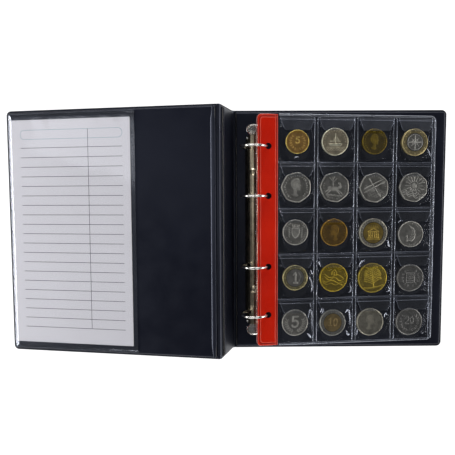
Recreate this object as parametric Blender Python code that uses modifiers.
"""A four-ring coin album, lying open: two padded covers and a spine joined by welded plastic hinges,
a ring mechanism on the back cover, a clear page of twenty coin pockets on the rings, and an index
card in a clear pocket inside the front cover.

Metres, +Z up. The origin is the middle of the back cover's underside, +Y is the top of the page, and
the covers hinge along Y on the -X side of the back cover. Everything is at rest: the back cover lies
flat, the spine leans outwards, and the front cover slopes down until its free edge rests on the table.
"""

import math

import bmesh
import bpy
from mathutils import Matrix, Vector

MM = 0.001

# Covers: a board between an outer skin and an inner lining, welded all round.
COVER_REACH = 202.5 * MM  # from a cover's hinge line to its free edge
COVER_HEIGHT = 226.8 * MM
SKIN = 0.45 * MM
BOARD_THICKNESS = 1.9 * MM
GAP = 0.3 * MM  # clearance between pieces that touch on the real album
RIM = 1.8 * MM  # flat welded edge outside the padded field
HINGE_RIM = 0.7 * MM
CORNER_RADIUS = 4.5 * MM
PAD_BEVEL = 0.8 * MM
COVER_THICKNESS = SKIN + GAP + BOARD_THICKNESS + GAP + SKIN

# Hinges: each line folds at the level of the welded skins.
SPINE_LENGTH = 35.0 * MM  # from hinge line to hinge line
HINGE_EDGE = 2.2 * MM  # from a hinge line to the edge of the panel beside it
HINGE_LEVEL = 0.6 * MM  # height of a hinge line above the outer face
STRIP_THICKNESS = 0.9 * MM
STRIP_STEPS = 6
SPINE_ANGLE = math.radians(109.5)  # of the spine, from the back cover

# Index card and its pocket, measured from the front hinge line.
POCKET_START = 76.2 * MM  # the pocket's open edge
FILM = 0.2 * MM
POCKET_DEPTH = 0.85 * MM  # clear space under the film
POCKET_RIM = 1.6 * MM
CARD_START = 80.6 * MM
CARD_WIDTH = 116.5 * MM
CARD_HEIGHT = 208.5 * MM
CARD_THICKNESS = 0.3 * MM

# Ring mechanism on the back cover.
MECHANISM_X = 19.6 * MM  # from the back hinge line to the middle of the plate
MECHANISM_Y = 0.7 * MM
RING_OFFSETS = (77.5 * MM, 32.5 * MM, -32.5 * MM, -77.5 * MM)
RING_RADIUS = 11.9 * MM  # of the wire's centre line
RING_FOOT_LEVEL = 2.161 * MM  # of the wires' lower ends above the lining
WIRE_RADIUS = 1.2 * MM
RING_FOOT_ANGLE = math.radians(-74)
RING_STEPS = 14
PLATE_LENGTH = 177.0 * MM
PLATE_HALF_WIDTH = 7.2 * MM
PLATE_END_HALF_WIDTH = 6.2 * MM
PLATE_TAPER_START = 80.0 * MM
PLATE_RISE = 6.6 * MM
PLATE_LIFT = 0.35 * MM
PLATE_METAL = 0.7 * MM
PLATE_ARC = math.radians(72)  # of the arch, from its crown to either edge
BLADE_METAL = 0.8 * MM
BLADE_PIVOT_OUT = 5.0 * MM  # from the middle of the plate to a blade's turning line
BLADE_PIVOT_HEIGHT = 2.4 * MM  # above the lining
BLADE_DROOP = math.radians(5)  # below level while the rings are shut
BLADE_SLIT = 0.25 * MM
BLADE_END_GAP = 2.4 * MM  # from a lever's pivot to the blades' ends
RIVET_OFFSET = 55.0 * MM
RIVET_SHANK = 1.9 * MM
RIVET_HEAD = 3.4 * MM
RIVET_BASE = 4.5 * MM
LEVER_PIVOT_OUT = 86.3 * MM  # from the mechanism's middle
LEVER_PIVOT_HEIGHT = 3.7 * MM
LEVER_PIN_RADIUS = 0.8 * MM
LEVER_METAL = 0.9 * MM
PADDLE_LENGTH = 12.4 * MM
PADDLE_HALF_WIDTH = 6.9 * MM
PADDLE_WIDEST = 0.5  # share of the paddle's length at which it is widest
PADDLE_TILT = math.radians(20)
NECK_LENGTH = 3.2 * MM
NECK_HALF_WIDTH = 3.2 * MM
TONGUE_REACH = 4.2 * MM
TONGUE_HALF_WIDTH = 2.0 * MM

# Page: local x runs from the rings' axis to the free edge, local z is the page's front side.
PAGE_LIFT = 3.8 * MM  # from the rings' axis to the back of the page
PAGE_REST_GAP = 0.7 * MM  # under the free edge
PAGE_LEFT = 1.3 * MM
PAGE_CORNER = 5.0 * MM
POCKET_PITCH_X = 37.75 * MM
POCKET_PITCH_Y = 42.0 * MM
COLUMNS = 4
ROWS = 5
FIRST_WELD = 19.1 * MM  # middle of the weld at the binding strip
WELD_HALF = 1.65 * MM
SIDE_BORDER = 1.9 * MM
END_BORDER = 1.6 * MM
STRIP_MARGIN = 1.2 * MM
STRIP_OVERLAP = 2.0 * MM  # binding strip past the first weld's middle
STRIP_METAL = 0.5 * MM
HOLE_RADIUS = 2.9 * MM
HOLE_CLEARANCE = 0.3 * MM
FILM_GAP = 0.2 * MM
ROOM = 3.0 * MM  # depth of a coin pocket, between the two films
ROW_WELD = 1.0 * MM
EDGE_WELD = 0.8 * MM  # of the front film, beside the binding strip
MOUTH_DROP = 3.6 * MM  # from a row's top line to its front film's edge
FLAP_ROOT = 1.5 * MM
FLAP_LENGTH = 11.5 * MM
FLAP_TAPER = 4.0 * MM

# Coins, row by row from the top: diameter, thickness, round or seven-sided.
COINS = (
    ((21.5, 1.7, "round"), (25.0, 1.9, "round"), (23.5, 1.8, "round"), (25.0, 2.1, "round")),
    ((27.3, 1.8, "seven"), (27.3, 1.8, "seven"), (27.3, 1.8, "seven"), (27.3, 1.8, "seven")),
    ((23.5, 1.8, "round"), (25.2, 1.8, "round"), (27.0, 2.0, "round"), (24.5, 1.8, "round")),
    ((23.3, 2.2, "round"), (26.5, 1.7, "round"), (28.0, 1.9, "round"), (26.0, 1.8, "round")),
    ((24.5, 1.9, "round"), (24.7, 2.0, "round"), (26.0, 1.8, "round"), (26.0, 1.8, "round")),
)
COIN_PLACES = (  # each coin's place: across from the pocket's middle, and up from its bottom weld
    ((0.3, 6.65), (-1.6, 5.2), (-1.6, 6.45), (-0.5, 5.3)),
    ((-0.7, 4.45), (-1.5, 4.55), (-1.4, 4.05), (-0.8, 4.35)),
    ((-1.3, 7.25), (-1.7, 5.9), (-1.7, 4.1), (-2.6, 3.65)),
    ((-1.4, 7.35), (-1.7, 4.95), (-1.8, 3.1), (-2.2, 3.3)),
    ((-1.3, 6.55), (-2.3, 5.25), (-3.5, 4.1), (-2.4, 3.1)),
)
COIN_SIDES = 32
SEVEN_SIDE_STEPS = 4
OVERRUN = 1.0 * MM  # of a cutter past what it cuts

# Worked out from the sizes above.
BACK_HINGE_X = -(HINGE_EDGE + COVER_REACH) / 2
RING_HEIGHT = RING_FOOT_LEVEL - RING_RADIUS * math.sin(RING_FOOT_ANGLE)  # of the rings' axis
RING_AXIS_Z = COVER_THICKNESS + RING_HEIGHT
WELD_LEVEL = SKIN + GAP  # underside of the lining's flat edge
PAGE_RIGHT = FIRST_WELD + COLUMNS * POCKET_PITCH_X + SIDE_BORDER
PAGE_HALF_HEIGHT = ROWS * POCKET_PITCH_Y / 2 + END_BORDER
STRIP_RIGHT = FIRST_WELD + STRIP_OVERLAP
FRONT_HINGE = Vector(
    (
        BACK_HINGE_X + SPINE_LENGTH * math.cos(SPINE_ANGLE),
        0,
        HINGE_LEVEL + SPINE_LENGTH * math.sin(SPINE_ANGLE),
    )
)
FRONT_SLOPE = math.asin(FRONT_HINGE.z / math.hypot(COVER_REACH, HINGE_LEVEL)) - math.atan(
    HINGE_LEVEL / COVER_REACH
)
PAGE_DROP = RING_AXIS_Z - COVER_THICKNESS - PAGE_REST_GAP
PAGE_SLOPE = math.asin(PAGE_DROP / math.hypot(PAGE_RIGHT, PAGE_LIFT)) + math.atan(
    PAGE_LIFT / PAGE_RIGHT
)
NOTCH_HALF = WIRE_RADIUS + 1.5 * GAP  # of the openings that the rings pass through
HOLE_LEVEL = PAGE_LIFT + (2 * FILM + FILM_GAP + STRIP_METAL) / 2
WIRE_AT_PAGE = math.sqrt(RING_RADIUS**2 - HOLE_LEVEL**2)
HOLE_X = WIRE_AT_PAGE + HOLE_RADIUS - WIRE_RADIUS - HOLE_CLEARANCE

COLOURS = {  # name: colour, roughness, metallic, alpha
    "cover_skin": ((0.012, 0.014, 0.024), 0.45, 0.0, 1.0),
    "lining": ((0.014, 0.017, 0.028), 0.5, 0.0, 1.0),
    "board": ((0.28, 0.26, 0.22), 0.9, 0.0, 1.0),
    "hinge": ((0.012, 0.014, 0.024), 0.45, 0.0, 1.0),
    "clear_film": ((0.9, 0.93, 0.97), 0.12, 0.0, 0.25),
    "card": ((0.82, 0.82, 0.88), 0.7, 0.0, 1.0),
    "nickel": ((0.72, 0.71, 0.68), 0.18, 1.0, 1.0),
    "strip": ((0.62, 0.03, 0.015), 0.4, 0.0, 1.0),
    "coin_silver": ((0.55, 0.54, 0.52), 0.32, 1.0, 1.0),
    "coin_bronze": ((0.45, 0.24, 0.12), 0.38, 1.0, 1.0),
    "coin_brass": ((0.62, 0.46, 0.18), 0.34, 1.0, 1.0),
}


def collection(name):
    made = bpy.data.collections.new(name)
    bpy.context.scene.collection.children.link(made)
    return made


def material(name):
    colour, roughness, metallic, alpha = COLOURS[name]
    made = bpy.data.materials.get(name) or bpy.data.materials.new(name)
    made.use_nodes = True
    shader = made.node_tree.nodes["Principled BSDF"]
    shader.inputs["Base Color"].default_value = (*colour, 1)
    shader.inputs["Roughness"].default_value = roughness
    shader.inputs["Metallic"].default_value = metallic
    shader.inputs["Alpha"].default_value = alpha
    return made


def add_object(name, data, frame, look):
    """A node of the album, in the space of its frame."""
    made = bpy.data.objects.new(name, data)
    ALBUM.objects.link(made)
    made.parent = frame
    made.data.materials.append(material(look))
    return made


def add_helper(name, data, frame):
    """A cutter or a piece to be joined, which is not itself a node."""
    made = bpy.data.objects.new(name, data)
    HELPERS.objects.link(made)
    made.parent = frame
    made.hide_render = True
    made.display_type = "WIRE"
    return made


def add_frame(name, location, rotation=None):
    made = bpy.data.objects.new(name, None)
    ALBUM.objects.link(made)
    made.matrix_world = Matrix.Translation(location) @ (rotation or Matrix()).to_4x4()
    return made


def combine(target, tool, operation):
    modifier = target.modifiers.new(f"{operation.lower()} {tool.name}", "BOOLEAN")
    modifier.operation = operation
    modifier.solver = "EXACT"
    modifier.object = tool


def cut(target, *tools):
    for tool in tools:
        combine(target, tool, "DIFFERENCE")


def join(target, *tools):
    for tool in tools:
        combine(target, tool, "UNION")


def finished(name, shape):
    mesh = bpy.data.meshes.new(name)
    shape.normal_update()
    shape.to_mesh(mesh)
    shape.free()
    return mesh


def block(name, low, high, corner=0.0, corners=None, top_bevel=0.0, turn=None):
    """A box from low to high. The upright edges in corners, such as "+x", are rounded."""
    shape = bmesh.new()
    size = [b - a for a, b in zip(low, high)]
    middle = [(a + b) / 2 for a, b in zip(low, high)]
    bmesh.ops.create_cube(shape, size=1)
    bmesh.ops.scale(shape, vec=size, verts=shape.verts)
    if corner:
        upright = [
            edge
            for edge in shape.edges
            if abs(edge.verts[0].co.z - edge.verts[1].co.z) > 1e-7
            and (corners is None or (edge.verts[0].co.x > 0) == (corners == "+x"))
        ]
        bmesh.ops.bevel(
            shape, geom=upright, offset=corner, segments=4, profile=0.5, affect="EDGES"
        )
    if top_bevel:
        top = max(vertex.co.z for vertex in shape.verts)
        rim = [
            edge
            for edge in shape.edges
            if all(abs(vertex.co.z - top) < 1e-7 for vertex in edge.verts)
        ]
        bmesh.ops.bevel(
            shape, geom=rim, offset=top_bevel, segments=2, profile=0.5, affect="EDGES"
        )
    if turn:
        bmesh.ops.rotate(shape, cent=(0, 0, 0), matrix=turn, verts=shape.verts)
    bmesh.ops.translate(shape, vec=middle, verts=shape.verts)
    return finished(name, shape)


def cylinder(name, radius, length, axis="Z", sides=24, at=(0, 0, 0)):
    shape = bmesh.new()
    bmesh.ops.create_cone(
        shape, cap_ends=True, segments=sides, radius1=radius, radius2=radius, depth=length
    )
    if axis == "X":
        turn = Matrix.Rotation(math.pi / 2, 3, "Y")
        bmesh.ops.rotate(shape, cent=(0, 0, 0), matrix=turn, verts=shape.verts)
    bmesh.ops.translate(shape, vec=at, verts=shape.verts)
    return finished(name, shape)


def bent_sheet(name, place, steps_x, steps_y):
    """A grid whose corner points are place(u, v), with u and v from 0 to 1."""
    shape = bmesh.new()
    bmesh.ops.create_grid(shape, x_segments=steps_x, y_segments=steps_y, size=0.5)
    for vertex in shape.verts:
        vertex.co = place(vertex.co.x + 0.5, vertex.co.y + 0.5)
    return finished(name, shape)


def thicken(target, thickness, offset=0.0):
    modifier = target.modifiers.new("thickness", "SOLIDIFY")
    modifier.thickness = thickness
    modifier.offset = offset
    modifier.use_even_offset = True


def smooth(target, degrees=35):
    target.data.shade_smooth()
    target.data.set_sharp_from_angle(angle=math.radians(degrees))


# ---------------------------------------------------------------- covers


def add_panel(name, frame, start, end, free_edge):
    """Outer skin, board and lining of one cover or the spine, from start to end along local x."""
    half = COVER_HEIGHT / 2
    base = -HINGE_LEVEL
    corner = CORNER_RADIUS if free_edge else 0.0
    end_rim = RIM if free_edge else HINGE_RIM
    pad_corner = max(corner - RIM, 0.0)
    inner = SKIN + GAP
    field = (start + HINGE_RIM, end - end_rim, half - RIM)
    pad_low = (field[0], -field[2], base + WELD_LEVEL)
    pad_high = (field[1], field[2], base + COVER_THICKNESS)
    room_low = (field[0] + SKIN, -field[2] + SKIN, base)
    room_high = (field[1] - SKIN, field[2] - SKIN, base + COVER_THICKNESS - SKIN)
    board_low = (field[0] + inner, -field[2] + inner, base + WELD_LEVEL)
    board_high = (field[1] - inner, field[2] - inner, base + WELD_LEVEL + BOARD_THICKNESS)

    skin = add_object(
        f"{name}_outer_skin",
        block("skin", (start, -half, base), (end, half, base + SKIN), corner, "+x"),
        frame,
        "cover_skin",
    )
    edge_top = base + WELD_LEVEL + SKIN
    lining = add_object(
        f"{name}_lining",
        block("edge", (start, -half, base + WELD_LEVEL), (end, half, edge_top), corner, "+x"),
        frame,
        "lining",
    )
    pad = block("pad", pad_low, pad_high, pad_corner, "+x", top_bevel=PAD_BEVEL)
    room = block("room", room_low, room_high, pad_corner, "+x")
    join(lining, add_helper(f"{name}_pad", pad, frame))
    cut(lining, add_helper(f"{name}_board_room", room, frame))
    board = add_object(
        f"{name}_board", block("board", board_low, board_high, pad_corner, "+x"), frame, "board"
    )
    return skin, board, lining


def add_hinge_strip(name, pivot, towards_a, towards_b):
    """Welded skins that bend round a hinge line, from one panel's edge to the next one's."""
    reach = HINGE_EDGE - GAP
    half = COVER_HEIGHT / 2

    def place(u, v):
        along = (1 - u) ** 2 * towards_a * reach + u**2 * towards_b * reach
        return pivot + along + Vector((0, (2 * v - 1) * half, 0))

    strip = add_object(name, bent_sheet(name, place, STRIP_STEPS, 1), None, "hinge")
    thicken(strip, STRIP_THICKNESS)
    smooth(strip)
    return strip


def add_index_pocket(frame):
    """Clear film over the front lining, welded on three sides, and the card that slides in it."""
    base = COVER_THICKNESS - HINGE_LEVEL + FILM_GAP
    half = COVER_HEIGHT / 2 - RIM - PAD_BEVEL
    end = COVER_REACH - RIM - PAD_BEVEL
    film = add_object(
        "index_pocket_film",
        block(
            "film",
            (POCKET_START, -half, base),
            (end, half, base + POCKET_DEPTH + FILM),
            CORNER_RADIUS - RIM,
            "+x",
        ),
        frame,
        "clear_film",
    )
    room = block(
        "room",
        (POCKET_START - POCKET_RIM, -half + POCKET_RIM, base - FILM_GAP),
        (end - POCKET_RIM, half - POCKET_RIM, base + POCKET_DEPTH),
    )
    cut(film, add_helper("index_pocket_room", room, frame))
    card_base = base + FILM_GAP / 2
    add_object(
        "index_card",
        block(
            "card",
            (CARD_START, -CARD_HEIGHT / 2, card_base),
            (CARD_START + CARD_WIDTH, CARD_HEIGHT / 2, card_base + CARD_THICKNESS),
        ),
        frame,
        "card",
    )


# ---------------------------------------------------------------- ring mechanism


def plate_half_width(y):
    """Half the plate's width at a distance y from its middle."""
    end = PLATE_LENGTH / 2
    share = max(0.0, abs(y) - PLATE_TAPER_START) / (end - PLATE_TAPER_START)
    ease = min(1.0, 3 * share)
    return PLATE_HALF_WIDTH + (PLATE_END_HALF_WIDTH - PLATE_HALF_WIDTH) * ease


def add_plate(frame):
    """Arched cover plate of the mechanism, notched for the rings and bored for its rivets."""

    def place(u, v):
        y = (2 * v - 1) * PLATE_LENGTH / 2
        turn = (2 * u - 1) * PLATE_ARC
        across = plate_half_width(y) * math.sin(turn) / math.sin(PLATE_ARC)
        rise = PLATE_RISE * (math.cos(turn) - math.cos(PLATE_ARC)) / (1 - math.cos(PLATE_ARC))
        return Vector((across, y, PLATE_LIFT + PLATE_METAL / 2 + rise))

    plate = add_object(
        "mechanism_plate", bent_sheet("plate", place, 12, 24), frame, "nickel"
    )
    thicken(plate, PLATE_METAL)
    smooth(plate)
    notch_in = 2.6 * MM
    notch_out = PLATE_HALF_WIDTH + 2 * MM
    for number, offset in enumerate(RING_OFFSETS, 1):
        for side in (-1, 1):
            x_ends = sorted((side * notch_in, side * notch_out))
            notch = block(
                "notch",
                (x_ends[0], offset - NOTCH_HALF, -1 * MM),
                (x_ends[1], offset + NOTCH_HALF, PLATE_RISE + 3 * MM),
            )
            cut(plate, add_helper(f"ring_notch_{number}_{side:+d}", notch, frame))
    for side in (-1, 1):
        bore = cylinder("bore", RIVET_SHANK + GAP, 20 * MM, at=(0, side * RIVET_OFFSET, 0))
        cut(plate, add_helper(f"plate_rivet_bore_{side:+d}", bore, frame))
        at = (0, side * LEVER_PIVOT_OUT, LEVER_PIVOT_HEIGHT)
        ears = cylinder("ears", LEVER_PIN_RADIUS + GAP, 30 * MM, "X", 16, at)
        cut(plate, add_helper(f"lever_pin_bore_{side:+d}", ears, frame))
    return plate


def add_blade(name, frame, side):
    """One of the two hinged strips that carry the ring halves. Its frame is its turning line."""
    low_x = -side * (BLADE_PIVOT_OUT - BLADE_SLIT)
    ends = sorted((low_x, side * 0.35 * MM))
    half = LEVER_PIVOT_OUT - BLADE_END_GAP
    blade = add_object(
        name,
        block(
            "blade",
            (ends[0], -half, -BLADE_METAL / 2),
            (ends[1], half, BLADE_METAL / 2),
        ),
        frame,
        "nickel",
    )
    blade.rotation_euler = (0, -side * BLADE_DROOP, 0)
    for end in (-1, 1):
        at = (-side * BLADE_PIVOT_OUT, end * RIVET_OFFSET, 0)
        notch = add_helper(
            f"{name}_notch_{end:+d}",
            cylinder("notch", RIVET_SHANK + 3 * GAP, 10 * MM, at=at),
            frame,
        )
        cut(blade, notch)
    foot = (RING_RADIUS * math.cos(RING_FOOT_ANGLE)) - 3 * GAP
    x_ends = sorted((-side * (BLADE_PIVOT_OUT - foot), side * 2 * MM))
    for number, offset in enumerate(RING_OFFSETS, 1):
        seat = block(
            "seat",
            (x_ends[0], offset - NOTCH_HALF, -2 * MM),
            (x_ends[1], offset + NOTCH_HALF, 2 * MM),
        )
        cut(blade, add_helper(f"{name}_ring_seat_{number}", seat, frame))
    return blade


def add_ring_half(name, frame, side, offset):
    """Half of one ring: a round wire from the parting at the top down to the blade."""
    parting = math.asin(GAP / 2 / RING_RADIUS)
    first = math.pi / 2 - parting
    centre = Vector((-side * BLADE_PIVOT_OUT, offset, RING_HEIGHT - BLADE_PIVOT_HEIGHT))
    curve = bpy.data.curves.new(name, "CURVE")
    curve.dimensions = "3D"
    curve.bevel_depth = WIRE_RADIUS
    curve.bevel_resolution = 2
    curve.use_fill_caps = True
    spline = curve.splines.new("POLY")
    spline.points.add(RING_STEPS)
    for step, point in enumerate(spline.points):
        angle = first + (RING_FOOT_ANGLE - first) * step / RING_STEPS
        across = side * RING_RADIUS * math.cos(angle)
        place = centre + Vector((across, 0, RING_RADIUS * math.sin(angle)))
        point.co = (*place, 1)
    return add_object(name, curve, frame, "nickel")


def paddle_half_width(share):
    """Half the paddle's width, from its neck at share 0 to its rounded tip at share 1."""
    if share < PADDLE_WIDEST:
        ease = share / PADDLE_WIDEST
        return NECK_HALF_WIDTH + (PADDLE_HALF_WIDTH - NECK_HALF_WIDTH) * ease * (2 - ease)
    past = (share - PADDLE_WIDEST) / (1 - PADDLE_WIDEST)
    return PADDLE_HALF_WIDTH * max(0.2, math.sqrt(1 - past**2))


def add_lever(name, frame, side):
    """Press lever at one end of the mechanism. Its frame is its pivot, and side is its end."""
    outline = bmesh.new()
    bmesh.ops.create_grid(outline, x_segments=8, y_segments=10, size=0.5)
    for vertex in outline.verts:
        reach = (vertex.co.y + 0.5) * PADDLE_LENGTH
        share = max(0.0, (reach - NECK_LENGTH) / (PADDLE_LENGTH - NECK_LENGTH))
        across = 2 * vertex.co.x * paddle_half_width(share)
        lip = share * (0.9 * MM * (2 * vertex.co.x) ** 2 + 1.4 * MM * share**2)
        vertex.co = (across, side * reach, lip + reach * math.tan(PADDLE_TILT))
    if side < 0:
        bmesh.ops.reverse_faces(outline, faces=outline.faces)
    lever = add_object(name, finished(name, outline), frame, "nickel")
    thicken(lever, LEVER_METAL)
    smooth(lever)
    pin_length = 2 * (PLATE_END_HALF_WIDTH + 0.2 * MM)
    pin = cylinder("pin", LEVER_PIN_RADIUS, pin_length, "X", 16)
    foot = LEVER_PIVOT_HEIGHT - GAP
    web = block(
        "web",
        (-TONGUE_HALF_WIDTH, -LEVER_METAL / 2, -foot),
        (TONGUE_HALF_WIDTH, LEVER_METAL / 2, LEVER_METAL / 2),
    )
    ends = sorted((-side * TONGUE_REACH, side * LEVER_METAL / 2))
    tongue = block(
        "tongue",
        (-TONGUE_HALF_WIDTH, ends[0], -foot),
        (TONGUE_HALF_WIDTH, ends[1], -foot + LEVER_METAL),
    )
    join(
        lever,
        add_helper(f"{name}_pin", pin, frame),
        add_helper(f"{name}_web", web, frame),
        add_helper(f"{name}_tongue", tongue, frame),
    )
    return lever


def add_rivet(name, frame, side):
    """Rivet from the plate's crown, through the back cover, to a flush head under it."""
    top = PLATE_LIFT + PLATE_RISE + PLATE_METAL + GAP
    bottom = 0.05 * MM - COVER_THICKNESS
    base_top = SKIN - COVER_THICKNESS
    profile = [(0, top + 1.2 * MM), (RIVET_HEAD * 0.55, top + 1.0 * MM), (RIVET_HEAD, top)]
    profile += [(RIVET_SHANK, top), (RIVET_SHANK, base_top)]
    profile += [(RIVET_BASE, base_top), (RIVET_BASE, bottom), (0, bottom)]
    shape = bmesh.new()
    points = [shape.verts.new((x, 0, z)) for x, z in profile]
    for first, second in zip(points, points[1:]):
        shape.edges.new((first, second))
    rivet = add_object(name, finished(name, shape), frame, "nickel")
    rivet.location = (0, side * RIVET_OFFSET, 0)
    turn = rivet.modifiers.new("turn", "SCREW")
    turn.steps = turn.render_steps = 24
    turn.use_merge_vertices = True
    turn.merge_threshold = 0.00001
    return rivet


def bore_cover(targets, frame):
    """Rivet holes through the back cover's layers; the outer skin's are wide enough for the heads."""
    skin, board, lining = targets
    for side in (-1, 1):
        at = (0, side * RIVET_OFFSET, 0)
        narrow = cylinder("bore", RIVET_SHANK + GAP, 20 * MM, at=at)
        wide = cylinder("seat", RIVET_BASE + GAP, 20 * MM, at=at)
        bore = add_helper(f"cover_rivet_bore_{side:+d}", narrow, frame)
        cut(board, bore)
        cut(lining, bore)
        cut(skin, add_helper(f"rivet_seat_{side:+d}", wide, frame))


def add_mechanism(back_panel):
    middle = Vector((BACK_HINGE_X + MECHANISM_X, MECHANISM_Y, COVER_THICKNESS))
    frame = add_frame("mechanism", middle)
    add_plate(frame)
    bore_cover(back_panel, frame)
    for label, side in (("upper", 1), ("lower", -1)):
        add_rivet(f"{label}_rivet", frame, side)
        pivot = middle + Vector((0, side * LEVER_PIVOT_OUT, LEVER_PIVOT_HEIGHT))
        add_lever(f"{label}_lever", add_frame(f"{label}_lever_pivot", pivot), side)
    for label, side in (("left", -1), ("right", 1)):
        pivot = middle + Vector((side * BLADE_PIVOT_OUT, 0, BLADE_PIVOT_HEIGHT))
        line = add_frame(f"{label}_blade_line", pivot)
        add_blade(f"{label}_blade", line, side)
        for number, offset in enumerate(RING_OFFSETS, 1):
            add_ring_half(f"ring_{number}_{label}", line, side, offset)


# ---------------------------------------------------------------- page


def row_top(row):
    return ROWS * POCKET_PITCH_Y / 2 - row * POCKET_PITCH_Y


def weld_x(column):
    return FIRST_WELD + column * POCKET_PITCH_X


def pocket_sides(column):
    """Where a coin pocket starts and ends along the page."""
    start = STRIP_RIGHT + GAP + EDGE_WELD if column == 0 else weld_x(column) + WELD_HALF
    return start, weld_x(column + 1) - WELD_HALF


def punch(target, frame, name):
    for number, offset in enumerate(RING_OFFSETS, 1):
        hole = cylinder("hole", HOLE_RADIUS, 20 * MM, sides=24, at=(HOLE_X, offset, PAGE_LIFT))
        cut(target, add_helper(f"{name}_hole_{number}", hole, frame))


def add_binding_strip(frame):
    base = PAGE_LIFT + FILM + FILM_GAP
    half = PAGE_HALF_HEIGHT - STRIP_MARGIN / 2
    strip = add_object(
        "binding_strip",
        block(
            "strip",
            (PAGE_LEFT + STRIP_MARGIN, -half, base),
            (STRIP_RIGHT, half, base + STRIP_METAL),
            PAGE_CORNER - STRIP_MARGIN,
            "-x",
        ),
        frame,
        "strip",
    )
    punch(strip, frame, "binding_strip")


def add_back_film(frame):
    film = add_object(
        "page_back_film",
        block(
            "film",
            (PAGE_LEFT, -PAGE_HALF_HEIGHT, PAGE_LIFT),
            (PAGE_RIGHT, PAGE_HALF_HEIGHT, PAGE_LIFT + FILM),
            PAGE_CORNER,
        ),
        frame,
        "clear_film",
    )
    punch(film, frame, "back_film")


def add_pocket_row(row, frame):
    """Front film of one row: a welded sheet that stands up into four pockets, open at the top."""
    weld = PAGE_LIFT + FILM + FILM_GAP
    roof = PAGE_LIFT + FILM + ROOM + FILM
    bottom = row_top(row) - POCKET_PITCH_Y
    low_y = bottom - (END_BORDER if row == ROWS - 1 else ROW_WELD - GAP)
    mouth = row_top(row) - MOUTH_DROP
    left = STRIP_RIGHT + GAP
    film = add_object(
        f"pocket_row_{row + 1}",
        block("film", (left, low_y, weld), (PAGE_RIGHT, mouth + 2 * OVERRUN, weld + FILM)),
        frame,
        "clear_film",
    )
    for column in range(COLUMNS):
        start, end = pocket_sides(column)
        tag = f"{row + 1}_{column + 1}"
        bubble = block(
            "bubble",
            (start - FILM, bottom + ROW_WELD - FILM, weld + FILM / 2),
            (end + FILM, mouth + OVERRUN, roof),
        )
        room = block(
            "room",
            (start, bottom + ROW_WELD, PAGE_LIFT),
            (end, mouth + 3 * OVERRUN, roof - FILM),
        )
        join(film, add_helper(f"bubble_{tag}", bubble, frame))
        cut(film, add_helper(f"room_{tag}", room, frame))
    past_mouth = block(
        "past_mouth",
        (left - OVERRUN, mouth, PAGE_LIFT),
        (PAGE_RIGHT + OVERRUN, mouth + 4 * OVERRUN, roof + OVERRUN),
    )
    cut(film, add_helper(f"mouth_line_{row + 1}", past_mouth, frame))


def add_flap_row(row, frame):
    """Tuck-in flaps of one row: a strip welded above the mouths, with a tapered tongue in each."""
    weld = PAGE_LIFT + FILM + FILM_GAP
    level = PAGE_LIFT + FILM + ROOM - FILM_GAP - FILM
    top = row_top(row) - FLAP_ROOT
    first = pocket_sides(0)[0] + GAP
    last = pocket_sides(COLUMNS - 1)[1] - GAP
    strip_low = row_top(row) - MOUTH_DROP + GAP
    tip = top - FLAP_LENGTH
    outline = [(last, top), (first, top)]
    for column in range(COLUMNS):
        start, end = pocket_sides(column)
        start, end = start + 2 * GAP, end - 2 * GAP
        outline += [(start, strip_low), (start + FLAP_TAPER, tip)]
        outline += [(end - FLAP_TAPER, tip), (end, strip_low)]
    outline.insert(2, (first, strip_low))
    outline.append((last, strip_low))
    shape = bmesh.new()
    face = shape.faces.new([shape.verts.new((x, y, level)) for x, y in outline])
    raised = bmesh.ops.extrude_face_region(shape, geom=[face])["geom"]
    lifted = [item for item in raised if isinstance(item, bmesh.types.BMVert)]
    bmesh.ops.translate(shape, vec=(0, 0, FILM), verts=lifted)
    bmesh.ops.recalc_face_normals(shape, faces=shape.faces)
    flap = add_object(f"flap_row_{row + 1}", finished("flaps", shape), frame, "clear_film")
    root_low = (first + GAP, top - 2 * FILM, weld)
    root = block("root", root_low, (last - GAP, top - FILM, level + FILM / 2))
    join(flap, add_helper(f"flap_root_{row + 1}", root, frame))


def coin_mesh(name, diameter, thickness, shape_name):
    """A plain disc, or a seven-sided coin whose sides are arcs of constant width."""
    seven = shape_name == "seven"
    sides = 7 * SEVEN_SIDE_STEPS if seven else COIN_SIDES
    shape = bmesh.new()
    bmesh.ops.create_cone(
        shape,
        cap_ends=True,
        segments=sides,
        radius1=diameter / 2,
        radius2=diameter / 2,
        depth=thickness,
    )
    if seven:
        corner_radius = diameter / 2 / math.cos(math.pi / 14)
        for vertex in shape.verts:
            turn = math.atan2(vertex.co.y, vertex.co.x)
            off = (turn + math.pi / 7) % (2 * math.pi / 7) - math.pi / 7
            side = corner_radius * math.cos(off)
            rest = diameter**2 - (corner_radius * math.sin(off)) ** 2
            vertex.co.xy = Vector((math.cos(turn), math.sin(turn))) * (math.sqrt(rest) - side)
    return finished(name, shape)


def coin_place(row, column):
    """Middle of a coin along the page, in the page's own space."""
    start, end = pocket_sides(column)
    across, rise = (value * MM for value in COIN_PLACES[row][column])
    radius = COINS[row][column][0] / 2 * MM
    pocket_bottom = row_top(row) - POCKET_PITCH_Y + ROW_WELD
    return Vector(((start + end) / 2 + across, pocket_bottom + rise + radius))


def coin_look(row, column):
    if (row, column) in ((0, 0), (2, 1)):
        return "coin_bronze"
    if (row, column) in ((0, 2), (0, 3), (3, 0), (3, 1), (3, 2)):
        return "coin_brass"
    return "coin_silver"


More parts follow.
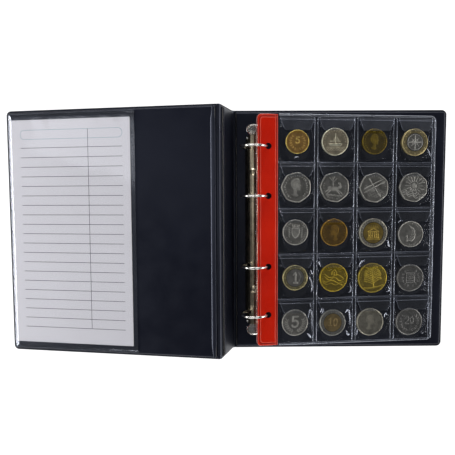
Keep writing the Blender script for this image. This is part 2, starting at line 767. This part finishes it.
def add_coins(frame):
    base = PAGE_LIFT + FILM + FILM_GAP
    for row in range(ROWS):
        for column in range(COLUMNS):
            diameter, thickness, shape_name = COINS[row][column]
            name = f"coin_{row + 1}_{column + 1}"
            mesh = coin_mesh(name, diameter * MM, thickness * MM, shape_name)
            coin = add_object(name, mesh, frame, coin_look(row, column))
            place = coin_place(row, column)
            coin.location = (place.x, place.y, base + thickness * MM / 2)
            smooth(coin)


def add_page():
    centre = Vector((BACK_HINGE_X + MECHANISM_X, MECHANISM_Y, RING_AXIS_Z))
    frame = add_frame("page_axis", centre, Matrix.Rotation(PAGE_SLOPE, 3, "Y"))
    add_binding_strip(frame)
    add_back_film(frame)
    for row in range(ROWS):
        add_pocket_row(row, frame)
        add_flap_row(row, frame)
    add_coins(frame)


# ---------------------------------------------------------------- assembly


def leaning(direction, normal):
    """Rotation that lays local x along direction and local z along normal, both in the XZ plane."""
    return Matrix((direction, normal.cross(direction), normal)).transposed()


def add_covers():
    back_pivot = Vector((BACK_HINGE_X, 0, HINGE_LEVEL))
    along_back = Vector((1, 0, 0))
    along_spine = Vector((math.cos(SPINE_ANGLE), 0, math.sin(SPINE_ANGLE)))
    spine_inside = Vector((math.sin(SPINE_ANGLE), 0, -math.cos(SPINE_ANGLE)))
    along_front = Vector((-math.cos(FRONT_SLOPE), 0, -math.sin(FRONT_SLOPE)))
    front_inside = Vector((-math.sin(FRONT_SLOPE), 0, math.cos(FRONT_SLOPE)))

    back = add_frame("back_cover", back_pivot)
    spine = add_frame("spine_hinge", back_pivot, leaning(along_spine, spine_inside))
    front = add_frame("front_hinge", FRONT_HINGE, leaning(along_front, front_inside))

    back_panel = add_panel("back", back, HINGE_EDGE, COVER_REACH, True)
    add_panel("spine", spine, HINGE_EDGE, SPINE_LENGTH - HINGE_EDGE, False)
    add_panel("front", front, HINGE_EDGE, COVER_REACH, True)
    add_hinge_strip("back_hinge_strip", back_pivot, along_back, along_spine)
    add_hinge_strip("front_hinge_strip", FRONT_HINGE, -along_spine, along_front)
    add_index_pocket(front)
    return back_panel


for old in list(bpy.data.objects):
    bpy.data.objects.remove(old, do_unlink=True)
ALBUM = collection("coin_album")
HELPERS = collection("cutters")
add_mechanism(add_covers())
add_page()
bpy.context.view_layer.update()
